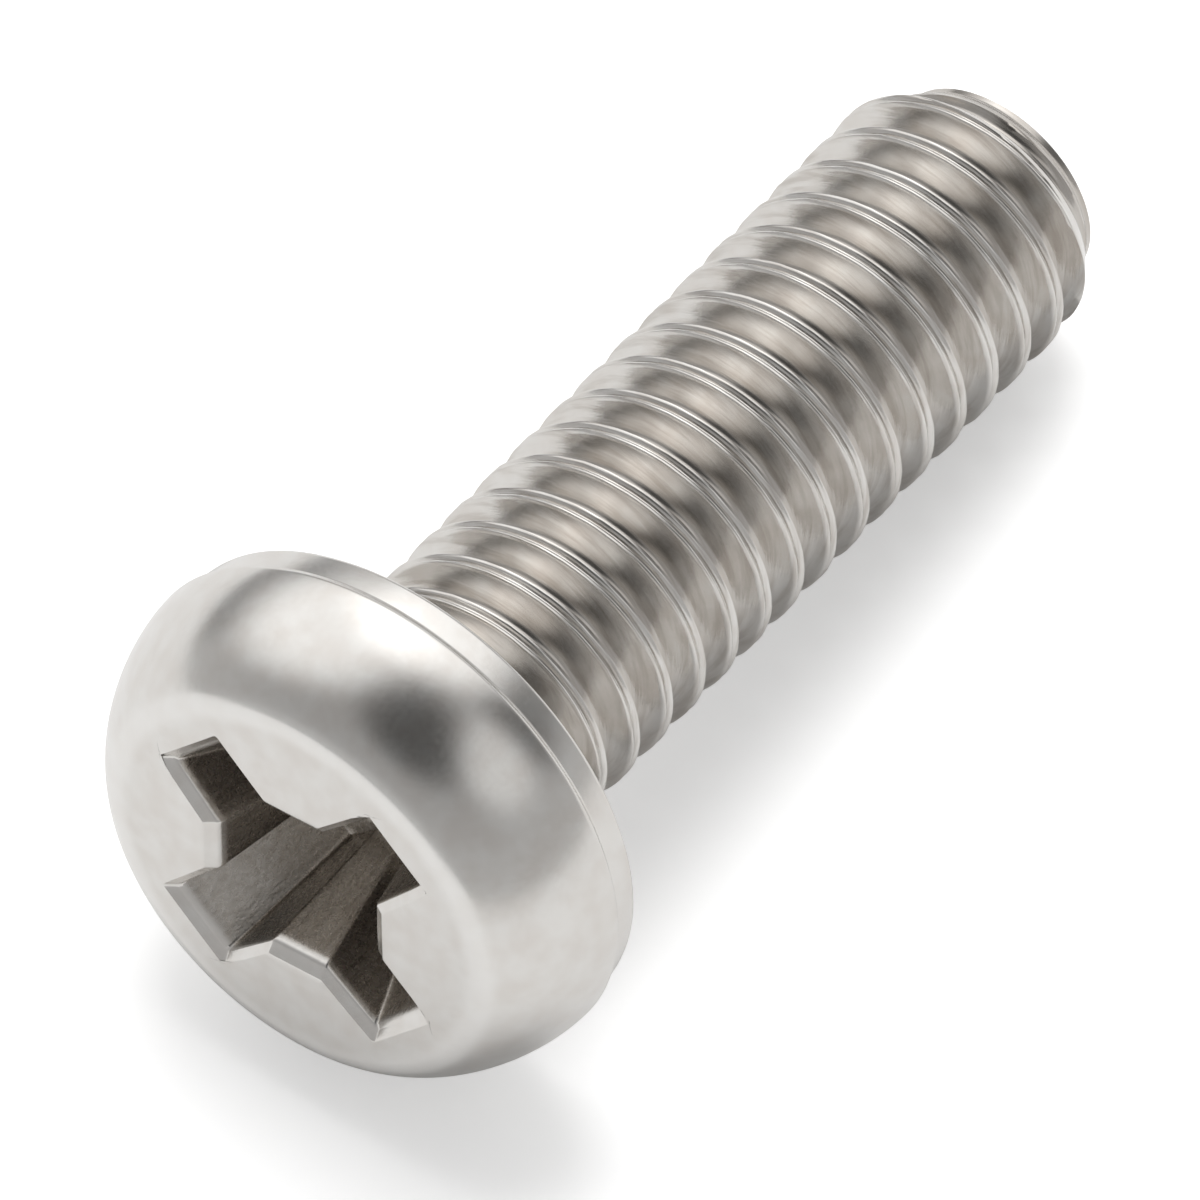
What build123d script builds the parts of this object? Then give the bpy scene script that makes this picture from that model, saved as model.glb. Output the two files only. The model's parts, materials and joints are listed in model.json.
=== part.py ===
from build123d import *
import os
from math import atan2, cos, degrees, radians, sin, tan

# A pan head machine screw with a cross recess, M4 x 0.7, cold headed from one length of wire.
# It lies on its side on the head's rim and on the last full crest of the thread.
# The head points to -X and the tip to +X, and the surface it lies on is Z = 0.

# Shank, measured along the screw from the bearing face under the head
thread_diameter = 3.84        # over the crests of the rolled thread
length_under_head = 12.7
end_chamfer_length = 0.80
end_face_diameter = 2.90
neck_fillet = 0.20

# Head
head_diameter = 7.30
head_height = 2.28               # to the edge of the disc
disc_diameter = 5.70          # the nearly flat middle of the head
crown_height = 0.08
rim_height = 0.55             # from the bearing face to the widest circle
shoulder_fullness = 0.095     # bulge of the shoulder past a straight cone, as a share of its length
collar_diameter = 7.06        # the narrow band under the rim, left by the heading die
collar_height = 0.42
collar_round = 0.06

# Cross recess, its mouth level with the edge of the head's disc
recess_span = 4.32            # across two opposite wings, inside the bevelled lip
wing_width_at_end = 1.06
wing_width_at_root = 1.14
corner_reach = 1.14           # where the bevel between two wings meets a wing's side
recess_depth = 1.95
recess_cone_depth = 0.35
wing_end_angle = 26.5
wing_side_angle = 5.5
corner_angle = 14.0
recess_turn = 38.3            # of the cross about the screw's axis
mouth_bevel = 0.11

thread_radius = thread_diameter / 2
head_radius = head_diameter / 2
collar_radius = collar_diameter / 2
disc_radius = disc_diameter / 2

# The screw tips down towards its end until the rim and the last crest touch the surface.
crest_to_rim = length_under_head - end_chamfer_length + rim_height
tilt = degrees(atan2(head_radius - thread_radius, crest_to_rim))
toward_tip = Vector(cos(radians(tilt)), 0, -sin(radians(tilt)))
overhead = Vector(sin(radians(tilt)), 0, cos(radians(tilt)))
rim_centre = Vector(0, 0, head_radius * cos(radians(tilt)))
bearing_centre = rim_centre + toward_tip * rim_height
mouth_centre = bearing_centre - toward_tip * head_height

# The box is centred on the origin along X
front = min((mouth_centre - toward_tip * crown_height).X, (mouth_centre - overhead * disc_radius).X)
back = (bearing_centre + toward_tip * length_under_head + overhead * end_face_diameter / 2).X
slide = Vector(-(front + back) / 2, 0, 0)
bearing_centre = bearing_centre + slide
mouth_centre = mouth_centre + slide

# The middle of the shoulder stands out square to the line between its two ends
shoulder_chord = Vector(head_height - rim_height, head_radius - disc_radius)
shoulder_out = Vector(-shoulder_chord.Y, shoulder_chord.X).normalized()
shoulder_middle = Vector(-head_height, disc_radius) + shoulder_chord / 2
shoulder_middle = shoulder_middle + shoulder_out * shoulder_chord.length * shoulder_fullness

screw_axis = Axis(bearing_centre, toward_tip)
profile_plane = Plane(origin=bearing_centre, x_dir=toward_tip, z_dir=(0, -1, 0))

# The cone at the bottom stays inside the corners between the wings
recess_cone_radius = corner_reach - recess_depth * tan(radians(corner_angle))
cone_overlap = 0.1


def mouth_plane(depth):
    """The plane across the recess at a depth below its mouth, turned with the cross."""
    plane = Plane(origin=mouth_centre + toward_tip * depth, x_dir=(0, 1, 0), z_dir=toward_tip)
    return plane.rotated((0, 0, recess_turn))


def cross_corners(half_span, end_half_width, root_half_width, reach):
    """The sixteen corners of a cross with bevelled inner corners."""
    wing = [
        (reach, -root_half_width),
        (half_span, -end_half_width),
        (half_span, end_half_width),
        (reach, root_half_width),
    ]
    corners = []
    for quarter in range(4):
        for point in wing:
            turned = Vector(*point).rotate(Axis.Z, quarter * 90)
            corners.append((turned.X, turned.Y))
    return corners


def cross_at(depth):
    """Corners of the cross at a depth, from the draft of its walls."""
    side_draft = depth * tan(radians(wing_side_angle))
    return cross_corners(
        recess_span / 2 - depth * tan(radians(wing_end_angle)),
        wing_width_at_end / 2 - side_draft,
        wing_width_at_root / 2 - side_draft,
        corner_reach - depth * tan(radians(corner_angle)),
    )


def bevel_at(depth):
    """Corners of the cross in its bevelled lip, which opens at 45 degrees."""
    opened = mouth_bevel - depth
    return cross_corners(
        recess_span / 2 + opened,
        wing_width_at_end / 2 + opened,
        wing_width_at_root / 2 + opened,
        corner_reach + opened,
    )


with BuildPart() as machine_screw:
    # Head and shank: half of the lengthwise section, turned about the axis
    with BuildSketch(profile_plane):
        with BuildLine():
            ThreePointArc(
                (-head_height - crown_height, 0),
                (-head_height - crown_height * 3 / 4, disc_radius / 2),
                (-head_height, disc_radius),
            )
            ThreePointArc((-head_height, disc_radius), shoulder_middle, (-rim_height, head_radius))
            Polyline(
                (-rim_height, head_radius),
                (-collar_height, collar_radius),
                (-collar_round, collar_radius),
                (0, collar_radius - collar_round),
                (0, thread_radius + neck_fillet),
            )
            RadiusArc(
                (0, thread_radius + neck_fillet),
                (neck_fillet, thread_radius),
                neck_fillet,
            )
            Polyline(
                (neck_fillet, thread_radius),
                (length_under_head - end_chamfer_length, thread_radius),
                (length_under_head, end_face_diameter / 2),
                (length_under_head, 0),
                (-head_height - crown_height, 0),
            )
        make_face()
    revolve(axis=screw_axis)

    # The recess: a lip that opens through the crown, then drafted walls, then a cone
    above_crown = -crown_height - mouth_bevel
    with BuildSketch(mouth_plane(above_crown)) as lip_top:
        Polygon(*bevel_at(above_crown), align=None)
    with BuildSketch(mouth_plane(mouth_bevel)) as lip_bottom:
        Polygon(*bevel_at(mouth_bevel), align=None)
    loft(sections=[lip_top.sketch, lip_bottom.sketch], ruled=True, mode=Mode.SUBTRACT)

    with BuildSketch(mouth_plane(mouth_bevel)) as walls_top:
        Polygon(*cross_at(0), align=None)
    with BuildSketch(mouth_plane(recess_depth)) as walls_bottom:
        Polygon(*cross_at(recess_depth), align=None)
    loft(sections=[walls_top.sketch, walls_bottom.sketch], ruled=True, mode=Mode.SUBTRACT)

    with Locations(mouth_plane(recess_depth - cone_overlap)):
        Cone(
            recess_cone_radius,
            0,
            recess_cone_depth + cone_overlap,
            align=(Align.CENTER, Align.CENTER, Align.MIN),
            mode=Mode.SUBTRACT,
        )

machine_screw.part.label = "machine_screw"
os.makedirs("parts", exist_ok=True)
export_step(machine_screw.part, "parts/machine_screw.step")
print("tilt", round(tilt, 2), "volume", round(machine_screw.part.volume, 2))
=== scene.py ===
import json
from math import atan2, cos, pi, radians, sin, sqrt, tan

import bmesh
import bpy
from mathutils import Matrix, Vector, noise


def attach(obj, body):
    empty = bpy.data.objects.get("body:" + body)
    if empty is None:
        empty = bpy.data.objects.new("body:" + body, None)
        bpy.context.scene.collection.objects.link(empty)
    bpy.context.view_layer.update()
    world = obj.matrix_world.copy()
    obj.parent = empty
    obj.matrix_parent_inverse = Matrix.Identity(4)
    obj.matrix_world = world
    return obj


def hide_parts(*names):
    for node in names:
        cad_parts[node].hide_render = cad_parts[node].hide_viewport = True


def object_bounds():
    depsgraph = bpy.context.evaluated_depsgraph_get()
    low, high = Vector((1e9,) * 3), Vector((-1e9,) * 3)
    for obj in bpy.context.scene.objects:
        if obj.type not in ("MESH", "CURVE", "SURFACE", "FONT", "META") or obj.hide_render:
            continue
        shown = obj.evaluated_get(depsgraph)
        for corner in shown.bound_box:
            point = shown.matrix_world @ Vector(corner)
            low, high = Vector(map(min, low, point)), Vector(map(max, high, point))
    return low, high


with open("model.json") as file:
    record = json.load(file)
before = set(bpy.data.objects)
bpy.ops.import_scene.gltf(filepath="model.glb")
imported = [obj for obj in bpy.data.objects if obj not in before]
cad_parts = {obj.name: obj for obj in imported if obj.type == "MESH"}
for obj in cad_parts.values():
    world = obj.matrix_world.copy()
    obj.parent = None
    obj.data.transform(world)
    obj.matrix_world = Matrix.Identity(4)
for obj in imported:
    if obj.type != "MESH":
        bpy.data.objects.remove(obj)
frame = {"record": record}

cad_low, cad_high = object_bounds()


# ---- The wire -----------------------------------------------------------------------------------
# The screw is one length of stainless wire, headed and rolled, so all of it is one mesh.
# It is drawn out ring by ring along its own axis, with the bearing face at zero and the tip at +X.

mm = 0.001
mounts = {mount["name"]: mount for mount in frame["record"]["mounts"]}
toward_tip = Vector(mounts["thread"]["axis"])
crest_radius = mounts["thread"]["dims"]["r_mm"] * mm
mouth_centre = Vector(mounts["driver_recess"]["pos_m"])
head_height = (Vector(mounts["bearing_face"]["pos_m"]) - mouth_centre).dot(toward_tip)
bearing_centre = mouth_centre + toward_tip * head_height
head_radius = (cad_high[1] - cad_low[1]) / 2

steel = bmesh.new()
points_per_quarter = 72


def loop_edges(ring):
    """The edges round a ring."""
    return [steel.edges.get((v, ring[k - 1])) for k, v in enumerate(ring)]


def first_ring(along, section):
    """The first ring of the wire, at a place along the axis."""
    made = bmesh.ops.create_circle(steel, cap_ends=False, radius=mm, segments=len(section))
    ring = sorted(made["verts"], key=lambda v: atan2(v.co.y, v.co.x))
    for vertex, (across, up) in zip(ring, section):
        vertex.co = (along, across, up)
    return ring


def next_ring(ring, along, section):
    """Draws the last ring out to the next section. along is one place, or one for each point."""
    drawn = bmesh.ops.extrude_edge_only(steel, edges=loop_edges(ring))["geom"]
    fresh = {part for part in drawn if isinstance(part, bmesh.types.BMVert)}
    new = []
    for vertex in ring:
        neighbours = [edge.other_vert(vertex) for edge in vertex.link_edges]
        new.append(next(neighbour for neighbour in neighbours if neighbour in fresh))
    places = along if isinstance(along, list) else [along] * len(new)
    for vertex, place, (across, up) in zip(new, places, section):
        vertex.co = (place, across, up)
    return new


def close_pole(ring, along):
    """Draws a ring in to one point on the axis."""
    pole = next_ring(ring, along, [(0.0, 0.0)] * len(ring))
    bmesh.ops.pointmerge(steel, verts=pole, merge_co=(along, 0, 0))


# ---- The cross recess ---------------------------------------------------------------------------
# A punch presses the recess into the hot end of the blank as the head is formed.
# Four drafted wings meet in slanted corners over a shallow cone, and the lip is rolled over.

recess_turn = radians(38.3)
half_span = 2.16 * mm
wing_end_half = 0.53 * mm
wing_root_half = 0.57 * mm
corner_reach = 1.14 * mm
recess_depth = 1.95 * mm
cone_depth = 0.35 * mm
end_draft = tan(radians(26.5))
side_draft = tan(radians(5.5))
corner_draft = tan(radians(14))
lip = 0.11 * mm
corner_round = 0.06 * mm
arc_points = 6
crown_height = 0.08 * mm
disc_radius = 2.85 * mm


def wing(spread, shrink_depth):
    """The four corners of one wing, spread at the lip or drawn in by the draft at a depth."""
    span = half_span + spread - shrink_depth * end_draft
    end = wing_end_half + spread - shrink_depth * side_draft
    root = wing_root_half + spread - shrink_depth * side_draft
    reach = corner_reach + spread - shrink_depth * corner_draft
    return [Vector((reach, -root)), Vector((span, -end)), Vector((span, end)), Vector((reach, root))]


def cross(spread=0.0, depth=0.0, rounding=corner_round):
    """Points of the cross with rounded corners, in step from one section to the next."""
    corners = []
    for quarter in range(4):
        turn = Matrix.Rotation(quarter * pi / 2 + recess_turn, 2)
        corners += [turn @ corner for corner in wing(spread, depth)]
    straight_points = (points_per_quarter - 4 * arc_points) // 4
    outline = []
    for k, corner in enumerate(corners):
        before = (corners[k - 1] - corner).normalized()
        after_edge = corners[(k + 1) % len(corners)] - corner
        after = after_edge.normalized()
        half_angle = before.angle(after) / 2
        inset = rounding / tan(half_angle)
        start, finish = corner + before * inset, corner + after * inset
        for step in range(arc_points):
            t = step / (arc_points - 1)
            outline.append(start * (1 - t) ** 2 + corner * (2 * t * (1 - t)) + finish * t * t)
        next_corner = corners[(k + 1) % len(corners)]
        beyond = corners[(k + 2) % len(corners)] - next_corner
        next_inset = rounding / tan((-after).angle(beyond.normalized()) / 2)
        goal = next_corner - after * next_inset
        for step in range(1, straight_points + 1):
            outline.append(finish.lerp(goal, step / (straight_points + 1)))
    return [(p.x, p.y) for p in outline]


def crown(radius):
    """Where the head's outer face lies along the axis at a radius."""
    return -head_height - crown_height * (1 - (radius / disc_radius) ** 2)


floor_along = -head_height + recess_depth
floor_radius = corner_reach - recess_depth * corner_draft
floor_outline = cross(depth=recess_depth)


def in_step(radius, evenness=1.0, outline=floor_outline):
    """A circle whose points stand in line with an outline's, or evenly spaced further out."""
    section = []
    previous = None
    start = atan2(outline[0][1], outline[0][0])
    for k, (across, up) in enumerate(outline):
        turn = atan2(up, across)
        if previous is not None:
            turn += 2 * pi * round((previous - turn) / (2 * pi))
        previous = turn
        even = start + 2 * pi * k / len(outline)
        mixed = turn * (1 - evenness) + even * evenness
        section.append((radius * cos(mixed), radius * sin(mixed)))
    return section


point_share = 0.1
ring = first_ring(floor_along + cone_depth * (1 - point_share), in_step(floor_radius * point_share))
seed = list(ring)
for share in (0.3, 0.5, 0.7, 0.85, 1.0):
    section = in_step(floor_radius * share, 1 - share)
    ring = next_ring(ring, floor_along + cone_depth * (1 - share), section)
for share in (0.35, 0.8, 0.95):
    circle_points = in_step(floor_radius, 0.0)
    section = [
        (a[0] * (1 - share) + b[0] * share, a[1] * (1 - share) + b[1] * share)
        for a, b in zip(circle_points, floor_outline)
    ]
    ring = next_ring(ring, floor_along, section)
wall_rings = 14
floor_round = 0.01 * mm
for step in range(wall_rings + 1):
    depth = recess_depth - floor_round - (recess_depth - lip) * step / wall_rings
    ring = next_ring(ring, -head_height + depth, cross(depth=depth))
lip_sag = 0.05
for share in (0.04, 0.12, 0.35, 0.65, 0.88, 0.96, 1.0):
    section = cross(spread=lip * share)
    eased = share - lip_sag * sin(pi * share) ** 6
    along = [crown(sqrt(x * x + y * y)) + lip * (1 - eased) for x, y in section]
    ring = next_ring(ring, along, section)

# ---- The pan head -------------------------------------------------------------------------------
# Cold headed in a die: a nearly flat disc, a broad rounded shoulder, and a narrow collar
# left where the die meets the anvil that forms the bearing face.

rim_height = 0.55 * mm
collar_radius = 3.53 * mm
collar_height = 0.42 * mm
mouth_outline = cross(spread=lip)
disc_flat = disc_radius - 0.16 * mm
for share in (0.04, 0.12, 0.3, 0.5, 0.7, 0.85, 0.95, 1.0):
    outer = in_step(disc_flat, 1.0, mouth_outline)
    section = []
    along = []
    for (x0, y0), (x1, y1) in zip(mouth_outline, outer):
        x, y = x0 + (x1 - x0) * share, y0 + (y1 - y0) * share
        section.append((x, y))
        along.append(crown(sqrt(x * x + y * y)))
    ring = next_ring(ring, along, section)


def round_ring(ring, along, radius):
    """Draws the last ring out to a round one."""
    return next_ring(ring, along, in_step(radius, 1.0, mouth_outline))


# the shoulder is a superellipse, flatter than a round one
shoulder_power = 1.74
shoulder_inner = 2.47 * mm
shoulder_top = 2.43 * mm


def shoulder(a):
    """(along, radius) of the shoulder, from the head's face at 90 degrees to its rim at 0."""
    radius = shoulder_inner + (head_radius - shoulder_inner) * cos(a) ** (2 / shoulder_power)
    height = rim_height + (shoulder_top - rim_height) * sin(a) ** (2 / shoulder_power)
    return -height, radius


# the disc turns into the shoulder in a small rounded edge
shoulder_start = radians(63)
edge_radius = disc_radius - 0.02 * mm
edge_start = Vector((crown(disc_flat), disc_flat))
edge_corner = Vector((crown(edge_radius), edge_radius))
edge_finish = Vector(shoulder(shoulder_start))
edge_rings = 8
for step in range(1, edge_rings + 1):
    t = step / edge_rings
    point = edge_start * (1 - t) ** 2 + edge_corner * (2 * t * (1 - t)) + edge_finish * t * t
    ring = round_ring(ring, point.x, point.y)
shoulder_rings = 36
for step in range(1, shoulder_rings + 1):
    a = shoulder_start * (1 - step / shoulder_rings)
    ring = round_ring(ring, *shoulder(a))
# from the rim over the collar and the bearing face to the neck
for along, radius in (
    (-rim_height + 0.03 * mm, head_radius - 0.012 * mm),
    (-collar_height - 0.02 * mm, collar_radius + 0.02 * mm),
    (-collar_height, collar_radius + 0.004 * mm),
    (-collar_height + 0.03 * mm, collar_radius),
    (-0.08 * mm, collar_radius),
    (-0.04 * mm, collar_radius - 0.01 * mm),
    (-0.012 * mm, collar_radius - 0.04 * mm),
    (0, collar_radius - 0.08 * mm),
    (0, collar_radius - 0.5 * mm),
    (0, 2.3 * mm),
    (0.02 * mm, 2.1 * mm),
    (0.06 * mm, 1.98 * mm),
    (0.14 * mm, 1.86 * mm),
):
    ring = round_ring(ring, along, radius)
neck_ring = ring
close_pole(seed, floor_along + cone_depth)

# ---- The rolled thread --------------------------------------------------------------------------
# Two flat dies roll the thread into the plain shank. The metal flows up from the root in two
# lips, which meet in a thin seam along the middle of the crest.

pitch = 0.7 * mm
length_under_head = 12.7 * mm
steps_per_turn = 96
root_radius = crest_radius - 0.40 * mm
neck_radius = 1.72 * mm
thread_start = 0.16 * mm
thread_full = 0.75 * mm
# each point is a place in pitches from the seam, and a drop from the crest as a share of the depth
crest_profile = [
    (-0.170, 0.16),
    (-0.152, 0.05),
    (-0.132, 0.005),
    (-0.108, 0.0),
    (-0.070, 0.03),
    (-0.040, 0.10),
    (-0.022, 0.15),
    (0.000, 0.15),
    (0.018, 0.10),
    (0.045, 0.03),
    (0.080, 0.0),
    (0.104, 0.005),
    (0.124, 0.05),
    (0.142, 0.16),
]
root_points = 13
root_fullness = 0.80
profile = []
for place, drop in crest_profile:
    profile.append((place, crest_radius - drop * (crest_radius - root_radius)))
left, right = crest_profile[-1][0], 1 + crest_profile[0][0]
for k in range(1, root_points + 1):
    t = k / (root_points + 1)
    dip = crest_profile[-1][1] + (1 - crest_profile[-1][1]) * sin(pi * t) ** root_fullness
    profile.append((left + (right - left) * t, crest_radius - dip * (crest_radius - root_radius)))
profile.append((1 + crest_profile[0][0], profile[0][1]))

turns = int(length_under_head / pitch) + 4
coil = bmesh.new()
line = [coil.verts.new(((place - 2) * pitch, 0, radius)) for place, radius in profile]
line_edges = [coil.edges.new(pair) for pair in zip(line, line[1:])]
bmesh.ops.spin(
    coil,
    geom=line + line_edges,
    cent=(0, 0, 0),
    axis=(1, 0, 0),
    dvec=(pitch / steps_per_turn, 0, 0),
    angle=2 * pi,
    steps=steps_per_turn,
    use_merge=False,
    use_normal_flip=False,
    use_duplicate=False,
)
one_turn = coil.verts[:] + coil.edges[:] + coil.faces[:]
for turn in range(1, turns):
    copied = bmesh.ops.duplicate(coil, geom=one_turn)["geom"]
    moved = [part for part in copied if isinstance(part, bmesh.types.BMVert)]
    bmesh.ops.translate(coil, verts=moved, vec=(pitch * turn, 0, 0))
bmesh.ops.remove_doubles(coil, verts=coil.verts, dist=0.0005 * mm)

tip_taper = 0.80 * mm
tip_band = 0.16 * mm
band_radius = 1.49 * mm
end_radius = 1.36 * mm
rounded_end = 0.07 * mm
shallow_length = 0.6 * mm
crest_band = 0.06 * mm


def limit_radius(along):
    """The end of the blank is chamfered before rolling, so the last crests taper into it."""
    from_end = length_under_head - along
    taper = band_radius + (crest_radius - band_radius) * (from_end - tip_band) / (tip_taper - tip_band)
    return max(band_radius, taper)


for v in coil.verts:
    radius = sqrt(v.co.y ** 2 + v.co.z ** 2)
    grown = min(max((v.co.x - thread_start) / (thread_full - thread_start), 0), 1)
    grown = grown * grown * (3 - 2 * grown)
    from_end = max(length_under_head - v.co.x, 0)
    shallow = min(max(1 - (from_end - tip_band) / shallow_length, 0), 1)
    target = min(neck_radius + (radius - neck_radius) * grown, limit_radius(v.co.x))
    target = max(target, root_radius + (band_radius - root_radius) * shallow)
    # the lips of the crest are a little ragged
    coarse = noise.noise(v.co / (0.20 * mm)) * 0.007 * mm
    ragged = coarse + noise.noise(v.co / (0.07 * mm)) * 0.003 * mm
    near_crest = min(max((target - crest_radius + crest_band) / (0.04 * mm), 0), 1)
    target += (ragged - 0.004 * mm) * near_crest
    v.co.y *= target / radius
    v.co.z *= target / radius

for place, outward in ((thread_start, -1), (length_under_head - rounded_end, 1)):
    bmesh.ops.bisect_plane(
        coil,
        geom=coil.verts[:] + coil.edges[:] + coil.faces[:],
        dist=1e-8,
        plane_co=(place, 0, 0),
        plane_no=(outward, 0, 0),
        clear_outer=True,
        clear_inner=False,
    )
rolled_mesh = bpy.data.meshes.new("rolled_thread")
coil.to_mesh(rolled_mesh)
coil.free()
steel.from_mesh(rolled_mesh)
bpy.data.meshes.remove(rolled_mesh)
steel.edges.ensure_lookup_table()


def open_loop(place):
    """The open edges that lie in a plane across the axis."""
    return [
        edge for edge in steel.edges
        if edge.is_boundary and all(abs(v.co.x - place) < 1e-7 for v in edge.verts)
    ]


bmesh.ops.bridge_loops(steel, edges=loop_edges(neck_ring) + open_loop(thread_start))

# The sheared end of the wire, with its rim rounded by the chamfering cut
end_loop = open_loop(length_under_head - rounded_end)
# each step is a share of the way in to the end face, and a share of the way out along the axis
for inward, outward in ((0.35, 0.55), (0.65, 0.85), (1.0, 1.0), (1.6, 1.0), (6.0, 1.0)):
    drawn = bmesh.ops.extrude_edge_only(steel, edges=end_loop)["geom"]
    fresh = [part for part in drawn if isinstance(part, bmesh.types.BMVert)]
    rim = band_radius - (band_radius - end_radius) * inward
    for v in fresh:
        reach = sqrt(v.co.y ** 2 + v.co.z ** 2)
        v.co = (length_under_head - rounded_end * (1 - outward), v.co.y * rim / reach, v.co.z * rim / reach)
    inner = set(fresh)
    end_loop = [
        part for part in drawn
        if isinstance(part, bmesh.types.BMEdge) and part.verts[0] in inner and part.verts[1] in inner
    ]
bmesh.ops.edgeloop_fill(steel, edges=end_loop)
bmesh.ops.remove_doubles(steel, verts=steel.verts, dist=0.00005 * mm)
bmesh.ops.recalc_face_normals(steel, faces=steel.faces)
# The finished blank is laid down where it comes to rest
lengthwise = toward_tip
overhead = Vector((-lengthwise.z, 0, lengthwise.x))
across = Vector((0, 1, 0))
lie_down = Matrix((
    (lengthwise.x, across.x, overhead.x, bearing_centre.x),
    (lengthwise.y, across.y, overhead.y, bearing_centre.y),
    (lengthwise.z, across.z, overhead.z, bearing_centre.z),
    (0, 0, 0, 1),
))
bmesh.ops.transform(steel, matrix=lie_down, verts=steel.verts)
sharp_edge = radians(38)
for face in steel.faces:
    face.smooth = True
for edge in steel.edges:
    if edge.is_manifold and edge.calc_face_angle(0) > sharp_edge:
        edge.smooth = False
screw_mesh = bpy.data.meshes.new("machine_screw_body")
steel.to_mesh(screw_mesh)
steel.free()
screw = bpy.data.objects.new("machine_screw_body", screw_mesh)
bpy.context.scene.collection.objects.link(screw)


# ---- Tumbled stainless steel --------------------------------------------------------------------
# The parts are tumbled after rolling, which leaves a bright satin skin with fine dents and rings.
# The recess walls are drawn along their length, and the recess is darkened with painted shade.

class Value:
    """A socket that takes part in sums."""

    def __init__(self, board, socket):
        self.board = board
        self.socket = socket

    def sum(self, operation, other, swapped=False, clamp=False):
        inputs = [other, self] if swapped else [self, other]
        return self.board.node("ShaderNodeMath", {"operation": operation, "use_clamp": clamp}, inputs)

    def __add__(self, other):
        return self.sum("ADD", other)

    def __sub__(self, other):
        return self.sum("SUBTRACT", other)

    def __rsub__(self, other):
        return self.sum("SUBTRACT", other, swapped=True)

    def __mul__(self, other):
        return self.sum("MULTIPLY", other)

    def __truediv__(self, other):
        return self.sum("DIVIDE", other)

    def __pow__(self, other):
        return self.sum("POWER", other)

    __radd__ = __add__
    __rmul__ = __mul__


class Board:
    """The nodes of one material, or of the world."""

    def __init__(self, owner):
        owner.use_nodes = True
        self.tree = owner.node_tree
        self.tree.nodes.clear()

    def node(self, kind, settings, inputs, output=0):
        """Adds a node: settings first, then a value or a link for each socket, by name or order."""
        made = self.tree.nodes.new(kind)
        for name, value in settings.items():
            if name == "stops":
                ramp = made.color_ramp
                while len(ramp.elements) < len(value):
                    ramp.elements.new(1.0)
                for element, (place, color) in zip(ramp.elements, value):
                    element.position = place
                    element.color = color
            else:
                setattr(made, name, value)
        named = inputs.items() if isinstance(inputs, dict) else enumerate(inputs)
        for key, value in named:
            if value is None:
                continue
            if isinstance(value, Value):
                self.tree.links.new(value.socket, made.inputs[key])
            else:
                made.inputs[key].default_value = value
        return Value(self, made.outputs[output]) if len(made.outputs) else made

    def noise(self, place, scale, detail=3.0, roughness=0.5):
        """Soft noise at a place."""
        return self.node("ShaderNodeTexNoise", {}, {
            "Vector": place, "Scale": scale, "Detail": detail, "Roughness": roughness})

    def span(self, value, low, high, to_low=0.0, to_high=1.0):
        """Stretches a range of a value smoothly over another range."""
        return self.node("ShaderNodeMapRange", {"interpolation_type": "SMOOTHSTEP"}, {
            "Value": value, "From Min": low, "From Max": high, "To Min": to_low, "To Max": to_high})

    def blend(self, share, first, second):
        """Mixes two colours."""
        return self.node("ShaderNodeMix", {"data_type": "RGBA"}, {0: share, 6: first, 7: second}, output=2)


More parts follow.
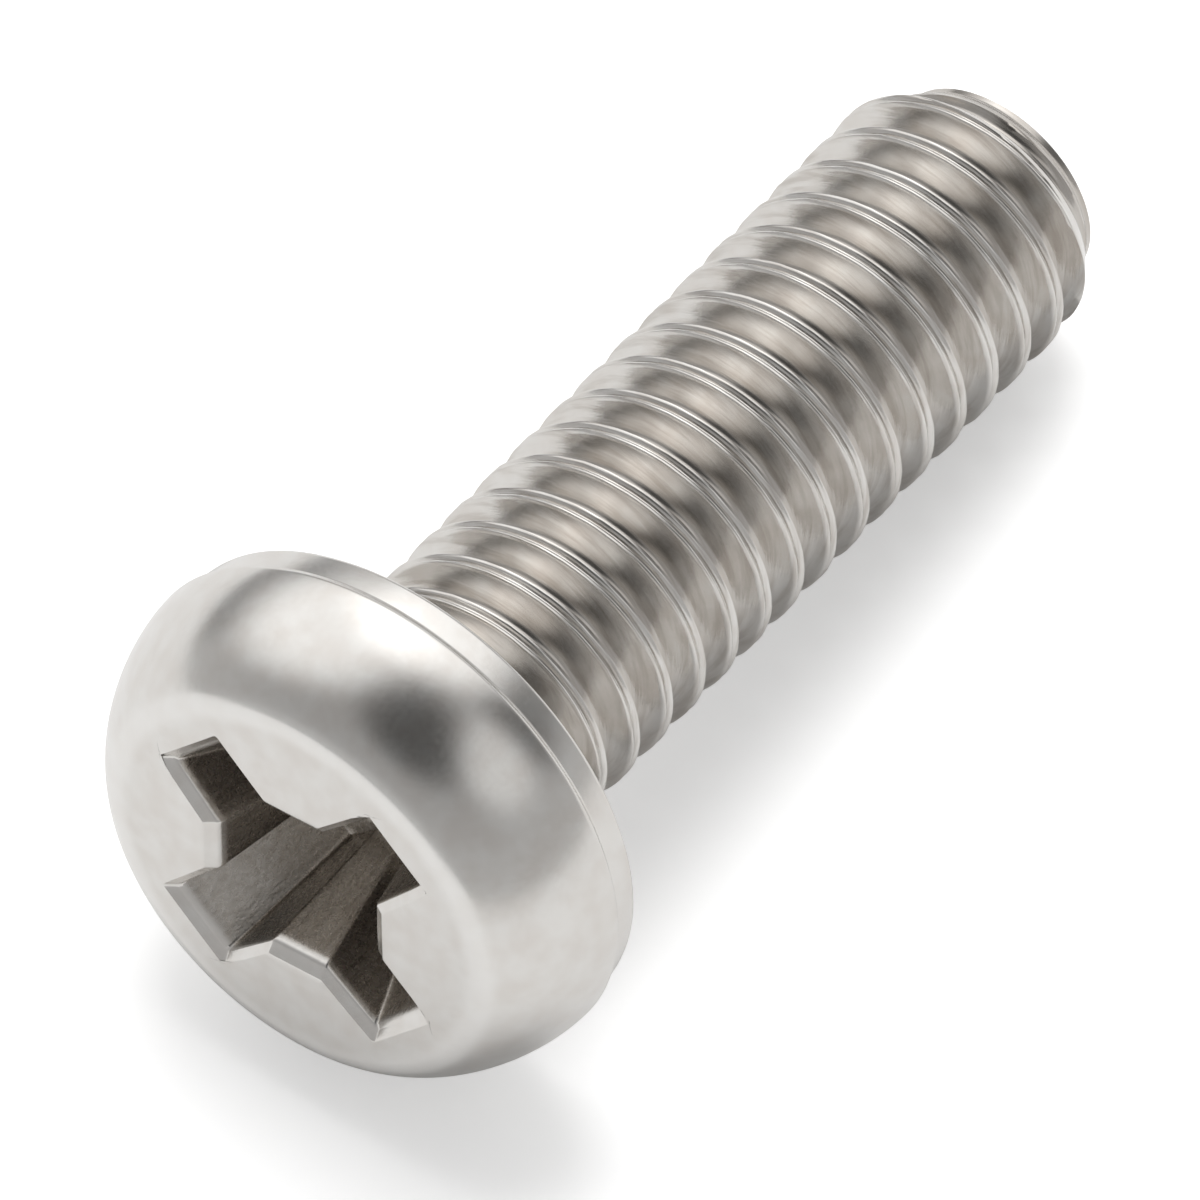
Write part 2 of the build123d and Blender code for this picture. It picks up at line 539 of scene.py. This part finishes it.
def stainless():
    """Warm grey stainless steel, streaked on the thread, with painted shade in the recess and the thread
    roots and a painted highlight round the disc edge.
    """
    material = bpy.data.materials.new("tumbled_stainless")
    board = Board(material)
    place = board.node("ShaderNodeTexCoord", {}, {}, output="Object")
    # the same place along, across and over the screw's own axis, in millimetres
    own = board.node("ShaderNodeMapping", {"vector_type": "TEXTURE"}, {
        "Vector": place,
        "Location": tuple(bearing_centre),
        "Rotation": (0, atan2(-lengthwise.z, lengthwise.x), 0),
        "Scale": (mm, mm, mm),
    })
    along = board.node("ShaderNodeSeparateXYZ", {}, {"Vector": own})
    side = Value(board, along.socket.node.outputs[1])
    over = Value(board, along.socket.node.outputs[2])
    radius = (side * side + over * over) ** 0.5
    wobble = board.noise(own, 1.2, 2.0)
    in_recess = board.span(along, -2.19, -2.10) * (1 - board.span(radius, 2.15, 2.4))
    in_recess = in_recess * (1 - board.span(along, 0.0, 0.3))
    on_head = 1 - board.span(along, -0.02, 0.02)

    fine = board.noise(own, 18.0, 3.0, 0.5)
    dents = board.noise(own, 2.6, 3.0, 0.5)
    wall = board.node("ShaderNodeMapping", {}, {"Vector": own, "Scale": (0.8, 14.0, 14.0)})
    drawn = board.noise(wall, 1.0, 3.0, 0.6)
    # rolling draws streaks round the shank
    round_place = board.node("ShaderNodeCombineXYZ", {}, {
        0: along * 26.0, 1: side / radius * 1.6, 2: over / radius * 1.6})
    streaks = board.noise(round_place, 1.0, 3.0, 0.6)
    on_shank = 1 - on_head
    warm = (0.640, 0.612, 0.580, 1)
    cool = (0.690, 0.675, 0.650, 1)
    # painted shade: the darker colour laid into the recess
    recess_painted_shade = (0.400, 0.365, 0.325, 1)
    # painted highlight: the lighter colour for the ring round the disc edge
    disc_edge_painted_highlight = (0.80, 0.79, 0.77, 1)
    streak_brown = (0.36, 0.32, 0.28, 1)
    # painted shade: the darker colour laid into the thread roots
    root_painted_shade = (0.34, 0.30, 0.26, 1)
    metal = board.blend(board.span(dents, 0.25, 0.75), warm, cool)
    # painted highlight: a lighter ring round the edge of the disc
    disc_edge_highlight_mask = board.span(radius, 2.50, 2.72) * (1 - board.span(radius, 2.86, 3.05)) * on_head
    metal = board.blend(disc_edge_highlight_mask * (1 - in_recess) * 0.5, metal, disc_edge_painted_highlight)
    metal = board.blend(on_shank * board.span(streaks, 0.42, 0.72, 0.0, 0.45), metal, streak_brown)
    # painted shade darkens the thread roots, below the crests
    in_root = on_shank * (1 - board.span(radius, 1.56, 1.72))
    metal = board.blend(in_root * 0.45, metal, root_painted_shade)
    # painted shade darkens the recess, varied by the drawn marks on its walls
    metal = board.blend(in_recess * board.span(drawn, 0.3, 0.7, 0.6, 0.9), metal, recess_painted_shade)
    rough = 0.20 + board.span(fine, 0.3, 0.7, 0.0, 0.03) + in_recess * 0.06 - on_shank * 0.02
    # the blank turns a little in the die, which leaves faint rings on the disc
    rings = board.node("ShaderNodeTexNoise", {"noise_dimensions": "1D"}, {
        "W": radius + wobble * 0.04, "Scale": 9.0, "Detail": 3.0})
    rings_here = on_head * (1 - board.span(radius, 2.7, 3.0)) * (1 - in_recess)
    height = (fine * 0.0003 + dents * 0.0010 + rings * rings_here * 0.0022
              + drawn * in_recess * 0.008 + streaks * on_shank * 0.0022)
    bump = board.node("ShaderNodeBump", {}, {"Strength": 1.0, "Distance": mm, "Height": height})
    shader = board.node("ShaderNodeBsdfPrincipled", {}, {
        "Base Color": metal, "Metallic": 1.0, "Roughness": rough, "Normal": bump})
    board.node("ShaderNodeOutputMaterial", {}, {"Surface": shader})
    return material


screw_mesh.materials.append(stainless())
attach(screw, "root")
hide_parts("machine_screw")

# ---- Floor, light and camera --------------------------------------------------------------------
# The screw lies on white card in a light tent. The tent has bright and dark patches, which the
# metal reflects, and one softbox overhead, which only the card sees, gives the soft shadow.

floor_mesh = bpy.data.meshes.new("white_card")
card = bmesh.new()
bmesh.ops.create_grid(card, x_segments=1, y_segments=1, size=0.6)
card.to_mesh(floor_mesh)
card.free()
floor = bpy.data.objects.new("white_card", floor_mesh)
bpy.context.scene.collection.objects.link(floor)
card_material = bpy.data.materials.new("white_card")
card_board = Board(card_material)
paper = card_board.node("ShaderNodeBsdfDiffuse", {}, {"Color": (0.90, 0.90, 0.90, 1)})
seen = card_board.node("ShaderNodeLightPath", {}, {}, output=0)
glow = card_board.node("ShaderNodeEmission", {}, {"Color": (1, 1, 1, 1), "Strength": seen * 0.35})
both = card_board.node("ShaderNodeAddShader", {}, {0: paper, 1: glow})
card_board.node("ShaderNodeOutputMaterial", {}, {"Surface": both})
floor_mesh.materials.append(card_material)

world = bpy.data.worlds.new("studio")
bpy.context.scene.world = world
sky = Board(world)
direction = sky.node("ShaderNodeTexCoord", {}, {}, output="Generated")
split_sky = sky.node("ShaderNodeSeparateXYZ", {}, {"Vector": direction})
sky_height = Value(sky, split_sky.socket.node.outputs[2])
seen_directly = sky.node("ShaderNodeLightPath", {}, {}, output=0)


def toward(heading, height):
    """A direction at a heading and a height in degrees."""
    h, e = radians(heading), radians(height)
    return Vector((cos(h) * cos(e), sin(h) * cos(e), sin(e)))


def patch(heading, height, edge, full):
    """A soft round patch of the sky, from nothing at one cosine to full at another."""
    facing = sky.node("ShaderNodeVectorMath", {"operation": "DOT_PRODUCT"}, {
        0: direction, 1: toward(heading, height)}, output=1)
    return sky.span(facing, edge, full)


graded = sky.span(sky_height, 0.0, 0.85, 0.56, 0.42)
dark_behind = patch(-134, 72, 0.86, 0.985)
dark_right = patch(-40, 36, 0.90, 0.985)
dark_low = patch(66, 0, 0.85, 0.98)
shade = (1 - dark_behind * 0.78) * (1 - dark_right * 0.6) * (1 - dark_low * 0.5)
bright_left = patch(65, 47, 0.72, 0.97)
bright_tip = patch(10, 48, 0.82, 0.97)
bright_right = patch(-82, 46, 0.92, 0.99)
dim = graded * shade + bright_left * 0.85 + bright_tip * 0.95 + bright_right * 0.4
strength = dim + seen_directly * (1 - dim)
air = sky.node("ShaderNodeBackground", {}, {"Color": (1, 1, 1, 1), "Strength": strength})
sky.node("ShaderNodeOutputWorld", {}, {"Surface": air})


def softbox(name, centre, aim, size, power):
    """A rectangular softbox at a place, facing another."""
    data = bpy.data.lights.new(name, "AREA")
    data.shape = "RECTANGLE"
    data.size, data.size_y = size
    data.energy = power
    lamp = bpy.data.objects.new(name, data)
    bpy.context.scene.collection.objects.link(lamp)
    lamp.location = centre
    lamp.rotation_euler = (Vector(aim) - Vector(centre)).to_track_quat("-Z", "Y").to_euler()
    return lamp


middle = (Vector(cad_low) + Vector(cad_high)) / 2
overhead_box = softbox("overhead_box", middle + toward(42, 72) * 0.25, middle, (0.13, 0.13), 0.30)
overhead_box.visible_glossy = False

camera_height = radians(56.4)
camera_heading = radians(36.19)
forward = Vector((
    cos(camera_height) * cos(camera_heading),
    cos(camera_height) * sin(camera_heading),
    -sin(camera_height),
))
camera_data = bpy.data.cameras.new("camera")
camera_data.sensor_width = 36
camera_data.lens = 900
camera = bpy.data.objects.new("camera", camera_data)
bpy.context.scene.collection.objects.link(camera)
view_right = Vector((sin(camera_heading), -cos(camera_heading), 0))
view_up = view_right.cross(forward)
frame_width = 14.85 * mm
distance = frame_width * camera_data.lens / camera_data.sensor_width
aim_point = bearing_centre + view_right * 2.42 * mm + view_up * 2.21 * mm
camera.location = aim_point - forward * distance
camera.rotation_euler = forward.to_track_quat("-Z", "Y").to_euler()
camera_data.clip_start = 0.01
camera_data.clip_end = 10
bpy.context.scene.camera = camera
bpy.context.scene.view_settings.view_transform = "Standard"
